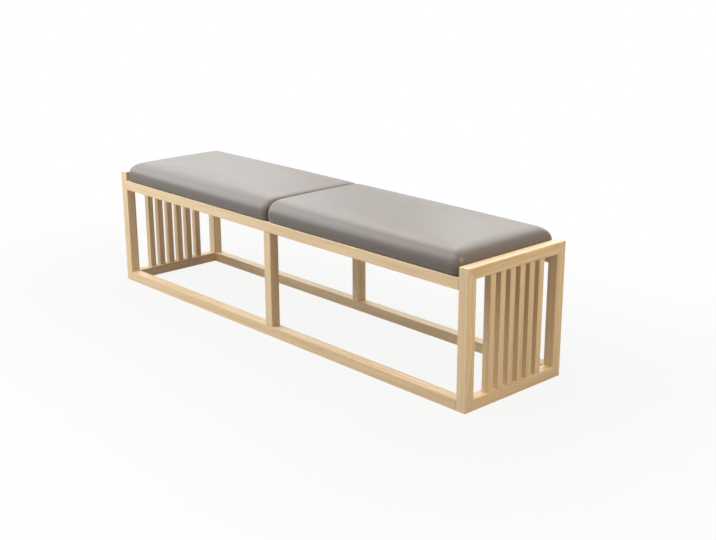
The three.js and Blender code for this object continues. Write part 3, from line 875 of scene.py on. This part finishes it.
def make_cover(side, pads, finish, moves):
    """The cover of one pad, given its thickness and smoothed."""
    mesh, loop = swollen_skin(PadForm(pads), moves)
    turn_under(mesh, loop, pads)
    cover = pad_object(f"{side}_pad_leathercloth", mesh, side, finish)
    sheet = cover.modifiers.new("cloth_thickness", "SOLIDIFY")
    sheet.thickness = pads.cover_thickness
    sheet.offset = -1.0
    fine = cover.modifiers.new("fine", "SUBSURF")
    fine.levels = 1
    fine.render_levels = 1
    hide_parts(f"{side}_pad_cover")
    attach(cover, f"{side}_pad")


CORE_GAP = 0.5 * MILLIMETRE


def make_core(side, pads, finish, moves):
    """The foam of one pad, which stands on the board and fills the cover."""
    inset = pads.cover_thickness + CORE_GAP
    mesh, loop = swollen_skin(PadForm(pads, inset, BOARD_TOP + CORE_GAP), moves)
    mesh.faces.new(loop[::-1])
    core = pad_object(f"{side}_pad_foam_core", mesh, side, finish)
    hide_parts(f"{side}_pad_foam")
    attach(core, f"{side}_pad")


def staple_places(pads):
    """Middle and direction of each staple of a hem, in the pad's own frame."""
    hem_y, hem = hem_lines(pads)
    from_edge = hem / 3
    sides = [
        (Vector((hem, hem_y + from_edge)), Vector((PAD_LENGTH - hem, hem_y + from_edge))),
        (Vector((hem, -hem_y - from_edge)), Vector((PAD_LENGTH - hem, -hem_y - from_edge))),
        (Vector((hem - from_edge, -hem_y)), Vector((hem - from_edge, hem_y))),
        (Vector((PAD_LENGTH - hem + from_edge, -hem_y)), Vector((PAD_LENGTH - hem + from_edge, hem_y))),
    ]
    made = []
    for start, end in sides:
        count = max(1, int((end - start).length / pads.staple_spacing))
        for i in range(count):
            made.append((start.lerp(end, (i + 0.5) / count), math.atan2(end.y - start.y, end.x - start.x)))
    return made


STAPLE_LEAN = math.radians(12)
STAPLE_BITE = 2 * MILLIMETRE  # how far the legs go into the board


def make_staples(side, pads, finish):
    """Wire staples sunk into the hem: a bent crown with both legs going up into the board."""
    mesh = bmesh.new()
    wire = pads.staple_wire / 2
    thin = pads.hem_lift / 2
    half = pads.staple_length / 2
    leg = [(-half, BOARD_BASE + STAPLE_BITE), (-half, pads.hem_lift + thin), (-half + wire, pads.hem_lift)]
    outline = leg + [(-x, z) for x, z in reversed(leg)]
    profile = [Vector((x, 0.0, z)) for x, z in outline]
    for index, (middle, angle) in enumerate(staple_places(pads)):
        turn = Matrix.Rotation(angle + STAPLE_LEAN * (1 if index % 2 else -1), 4, "Z")
        where = Matrix.Translation((middle.x, middle.y, 0.0)) @ turn
        rings = []
        for i, spot in enumerate(profile):
            ahead = (profile[min(i + 1, len(profile) - 1)] - profile[max(i - 1, 0)]).normalized()
            side_way = Vector((0.0, 1.0, 0.0))
            up_way = ahead.cross(side_way)
            corners = [(-wire, -thin), (wire, -thin), (wire, thin), (-wire, thin)]
            rings.append([mesh.verts.new(where @ (spot + side_way * a + up_way * b)) for a, b in corners])
        bridge(mesh, rings, closed=True)
        mesh.faces.new(rings[0])
        mesh.faces.new(rings[-1][::-1])
    staples = pad_object(f"{side}_pad_staples", mesh, side, finish)
    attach(staples, f"{side}_pad")


# Studio

SENSOR_WIDTH = 36.0  # of the camera, in millimetres
SEEN_RAYS = ("Is Camera Ray", "Is Glossy Ray", "Is Transmission Ray")
WHITE = (1.0, 1.0, 1.0, 1.0)
FLOOR_CELLS = 8
MOTTLE_SCALE = 3.0  # of the floor, per metre
MOTTLE_SHADE = 0.985
SOFTBOXES = ("key", "front", "fill", "right", "left", "top", "back")
SOFTBOX_PARTS = ("place", "size", "power", "colour")
LIGHT_TARGET = Vector((0.0, 0.0, 0.25))


def make_camera(stage):
    """The camera at the portrait's angle."""
    data = bpy.data.cameras.new("bench_camera")
    data.sensor_width = SENSOR_WIDTH
    data.lens = stage.lens
    data.dof.use_dof = False
    camera = bpy.data.objects.new("bench_camera", data)
    level = math.cos(stage.elevation)
    x, y = math.sin(stage.azimuth) * level, -math.cos(stage.azimuth) * level
    back = Vector((x, y, math.sin(stage.elevation)))
    facing = back.to_track_quat("Z", "Y").to_matrix().to_4x4()
    eye = Matrix.Translation(Vector(stage.target) + back * stage.distance)
    camera.matrix_world = eye @ facing @ Matrix.Rotation(stage.roll, 4, "Z")
    bpy.context.scene.collection.objects.link(camera)
    bpy.context.scene.camera = camera


def seen_directly(tree):
    """1 on rays from the camera, from gloss and through glass."""
    camera, gloss, glass = (tree.node("ShaderNodeLightPath", output=name) for name in SEEN_RAYS)
    return (camera + gloss + glass).math("MINIMUM", 1.0)


def make_world(stage):
    """A world that is white to look at and lights the bench only a little."""
    world = bpy.data.worlds.new("studio_white")
    world.use_nodes = True
    tree = NodeTree(world.node_tree)
    background = world.node_tree.nodes["Background"]
    seen = seen_directly(tree)
    tree.feed(background.inputs["Color"], WHITE)
    tree.feed(background.inputs["Strength"], stage.ambient + seen * (1 - stage.ambient))
    bpy.context.scene.world = world


def make_floor(stage):
    """Pale paper that is nearly white to the camera, and keeps a soft shadow by the bench."""
    mesh = bmesh.new()
    bmesh.ops.create_grid(mesh, x_segments=FLOOR_CELLS, y_segments=FLOOR_CELLS, size=stage.floor_span / 2)
    data = bpy.data.meshes.new("studio_floor")
    mesh.to_mesh(data)
    mesh.free()
    floor = bpy.data.objects.new("studio_floor", data)
    bpy.context.scene.collection.objects.link(floor)
    mk = Finish("pale_paper")
    position = mk.node("ShaderNodeTexCoord", output="Object")
    darker = opaque([channel * MOTTLE_SHADE for channel in stage.floor_colour])
    tone = mk.blend(mk.noise(position, MOTTLE_SCALE, 2.0), opaque(stage.floor_colour), darker)
    mk.surface(base_color=tone, roughness=0.9, specular_ior_level=0.1)
    glow = mk.node("ShaderNodeEmission", inputs={"Color": WHITE, "Strength": 1.0})
    paper = Wire(mk, mk.shader.outputs["BSDF"])
    x, y, _ = mk.xyz(position)
    out_x, out_y = abs(x) - CAD_BOX[1].x, abs(y) - CAD_BOX[1].y
    beyond = mk.vector(out_x.math("MAXIMUM", 0.0), out_y.math("MAXIMUM", 0.0), 0.0)
    away = mk.node("ShaderNodeVectorMath", {"operation": "LENGTH"}, {0: beyond}, "Value")
    white = stage.floor_glow + mk.smooth(away, 0.0, stage.shadow_reach) * (1 - stage.floor_glow)
    both = mk.node("ShaderNodeMixShader", inputs={0: seen_directly(mk) * white, 1: paper, 2: glow})
    mk.feed(mk.tree.nodes["Material Output"].inputs["Surface"], both)
    data.materials.append(mk.material)


def make_softbox(name, spot, size, watts, tint):
    """A square lamp that faces the bench."""
    data = bpy.data.lights.new(f"{name}_softbox", "AREA")
    data.shape = "SQUARE"
    data.size = size
    data.energy = watts
    data.color = tint
    lamp = bpy.data.objects.new(data.name, data)
    lamp.location = spot
    lamp.rotation_euler = (Vector(spot) - LIGHT_TARGET).to_track_quat("Z", "Y").to_euler()
    bpy.context.scene.collection.objects.link(lamp)


# Operators


class BENCH_OT_stage(Operator):
    """Set up the camera, the pale floor, the white world and the soft lights"""

    bl_idname = "bench.stage"
    bl_label = "Set Up Studio"

    def execute(self, context):
        stage = context.scene.bench_stage
        context.scene.view_settings.view_transform = "Standard"
        make_camera(stage)
        make_world(stage)
        make_floor(stage)
        for name in SOFTBOXES:
            make_softbox(name, *(getattr(stage, f"{name}_{part}") for part in SOFTBOX_PARTS))
        return {"FINISHED"}


class BENCH_OT_end_frames(Operator):
    """Finish the mitred posts and rails of the two end frames in ash"""

    bl_idname = "bench.end_frames"
    bl_label = "Finish End Frames"

    def execute(self, context):
        wood = context.scene.bench_wood
        posts = ash_finish("ash_end_posts", wood, "z", mitre_seam)
        rails = ash_finish("ash_end_rails", wood, "y", mitre_seam)
        for side in SIDES:
            for where in ("front", "back"):
                dress(f"{side}_{where}_post", posts)
            for where in ("top", "bottom"):
                dress(f"{side}_end_{where}_rail", rails)
        return {"FINISHED"}


class BENCH_OT_slats(Operator):
    """Finish the upright slats of the end frames in ash"""

    bl_idname = "bench.slats"
    bl_label = "Finish Slats"

    def execute(self, context):
        shoulders = shoulder_seam(END_RAIL_HEIGHT, END_HEIGHT - END_RAIL_HEIGHT)
        finish = ash_finish("ash_slats", context.scene.bench_wood, "z", shoulders)
        for node in NODES:
            if "_slat_" in node:
                dress(node, finish)
        return {"FINISHED"}


class BENCH_OT_long_members(Operator):
    """Finish the long rails and the middle posts in ash"""

    bl_idname = "bench.long_members"
    bl_label = "Finish Long Rails"

    def execute(self, context):
        wood = context.scene.bench_wood
        rails = ash_finish("ash_long_rails", wood, "x", rail_seam)
        shoulders = shoulder_seam(RAIL_HEIGHT, RAIL_TOP - RAIL_HEIGHT)
        posts = ash_finish("ash_middle_posts", wood, "z", shoulders)
        for where in ("front", "back"):
            dress(f"{where}_top_rail", rails)
            dress(f"{where}_bottom_rail", rails)
            dress(f"{where}_middle_post", posts)
        return {"FINISHED"}


class BENCH_OT_joinery(Operator):
    """Finish the bearers, cleats, loose tenons and dowels in beech"""

    bl_idname = "bench.joinery"
    bl_label = "Finish Joinery"

    def execute(self, context):
        wood = context.scene.bench_wood
        lengthways = beech_finish("beech_along_bench", wood, "x")
        crossways = beech_finish("beech_across_bench", wood, "y")
        for node in NODES:
            if node.endswith(("_cleat", "_dowel")):
                dress(node, lengthways)
            if node.endswith(("_bearer", "_corner_tenon")):
                dress(node, crossways)
        return {"FINISHED"}


class BENCH_OT_pad_boards(Operator):
    """Finish the plywood boards under the pads"""

    bl_idname = "bench.pad_boards"
    bl_label = "Finish Pad Boards"

    def execute(self, context):
        finish = plywood_finish(context.scene.bench_wood)
        for side in SIDES:
            dress(f"{side}_pad_board", finish)
        return {"FINISHED"}


class BENCH_OT_pad_cores(Operator):
    """Make the foam cores of the pads"""

    bl_idname = "bench.pad_cores"
    bl_label = "Make Foam Cores"

    def execute(self, context):
        pads = context.scene.bench_pads
        finish = foam_finish(pads)
        moves = swell(pads)
        for side in SIDES:
            make_core(side, pads, finish, moves)
        return {"FINISHED"}


class BENCH_OT_pad_covers(Operator):
    """Make the leathercloth covers, swell them and turn their hems under"""

    bl_idname = "bench.pad_covers"
    bl_label = "Make Pad Covers"

    def execute(self, context):
        pads = context.scene.bench_pads
        finish = leathercloth_finish(pads)
        moves = swell(pads)
        for side in SIDES:
            make_cover(side, pads, finish, moves)
        return {"FINISHED"}


class BENCH_OT_staples(Operator):
    """Staple the hems to the boards"""

    bl_idname = "bench.staples"
    bl_label = "Staple Hems"

    def execute(self, context):
        pads = context.scene.bench_pads
        finish = steel_finish()
        for side in SIDES:
            make_staples(side, pads, finish)
        return {"FINISHED"}


STEPS = (
    BENCH_OT_stage,
    BENCH_OT_end_frames,
    BENCH_OT_slats,
    BENCH_OT_long_members,
    BENCH_OT_joinery,
    BENCH_OT_pad_boards,
    BENCH_OT_pad_cores,
    BENCH_OT_pad_covers,
    BENCH_OT_staples,
)
SETTINGS = {
    "bench_stage": BenchStageSettings,
    "bench_wood": BenchWoodSettings,
    "bench_pads": BenchPadSettings,
}


class BENCH_PT_sidebar(Panel):
    """The bench's steps and settings in the sidebar"""

    bl_idname = "BENCH_PT_sidebar"
    bl_label = "Slatted Bench"
    bl_space_type = "VIEW_3D"
    bl_region_type = "UI"
    bl_category = "Bench"

    def draw(self, context):
        for step in STEPS:
            self.layout.operator(step.bl_idname)
        for name, settings in SETTINGS.items():
            box = self.layout.box()
            box.label(text=settings.__doc__)
            for setting in settings.__annotations__:
                box.prop(getattr(context.scene, name), setting)


def register():
    for group in SETTINGS.values():
        bpy.utils.register_class(group)
    for name, group in SETTINGS.items():
        setattr(bpy.types.Scene, name, PointerProperty(type=group))
    for made in (*STEPS, BENCH_PT_sidebar):
        bpy.utils.register_class(made)


def unregister():
    for made in (BENCH_PT_sidebar, *reversed(STEPS)):
        bpy.utils.unregister_class(made)
    for name, group in SETTINGS.items():
        delattr(bpy.types.Scene, name)
        bpy.utils.unregister_class(group)


def main():
    register()
    bpy.ops.bench.stage()
    bpy.ops.bench.end_frames()
    bpy.ops.bench.slats()
    bpy.ops.bench.long_members()
    bpy.ops.bench.joinery()
    bpy.ops.bench.pad_boards()
    bpy.ops.bench.pad_cores()
    bpy.ops.bench.pad_covers()
    bpy.ops.bench.staples()


if __name__ == "__main__":
    main()
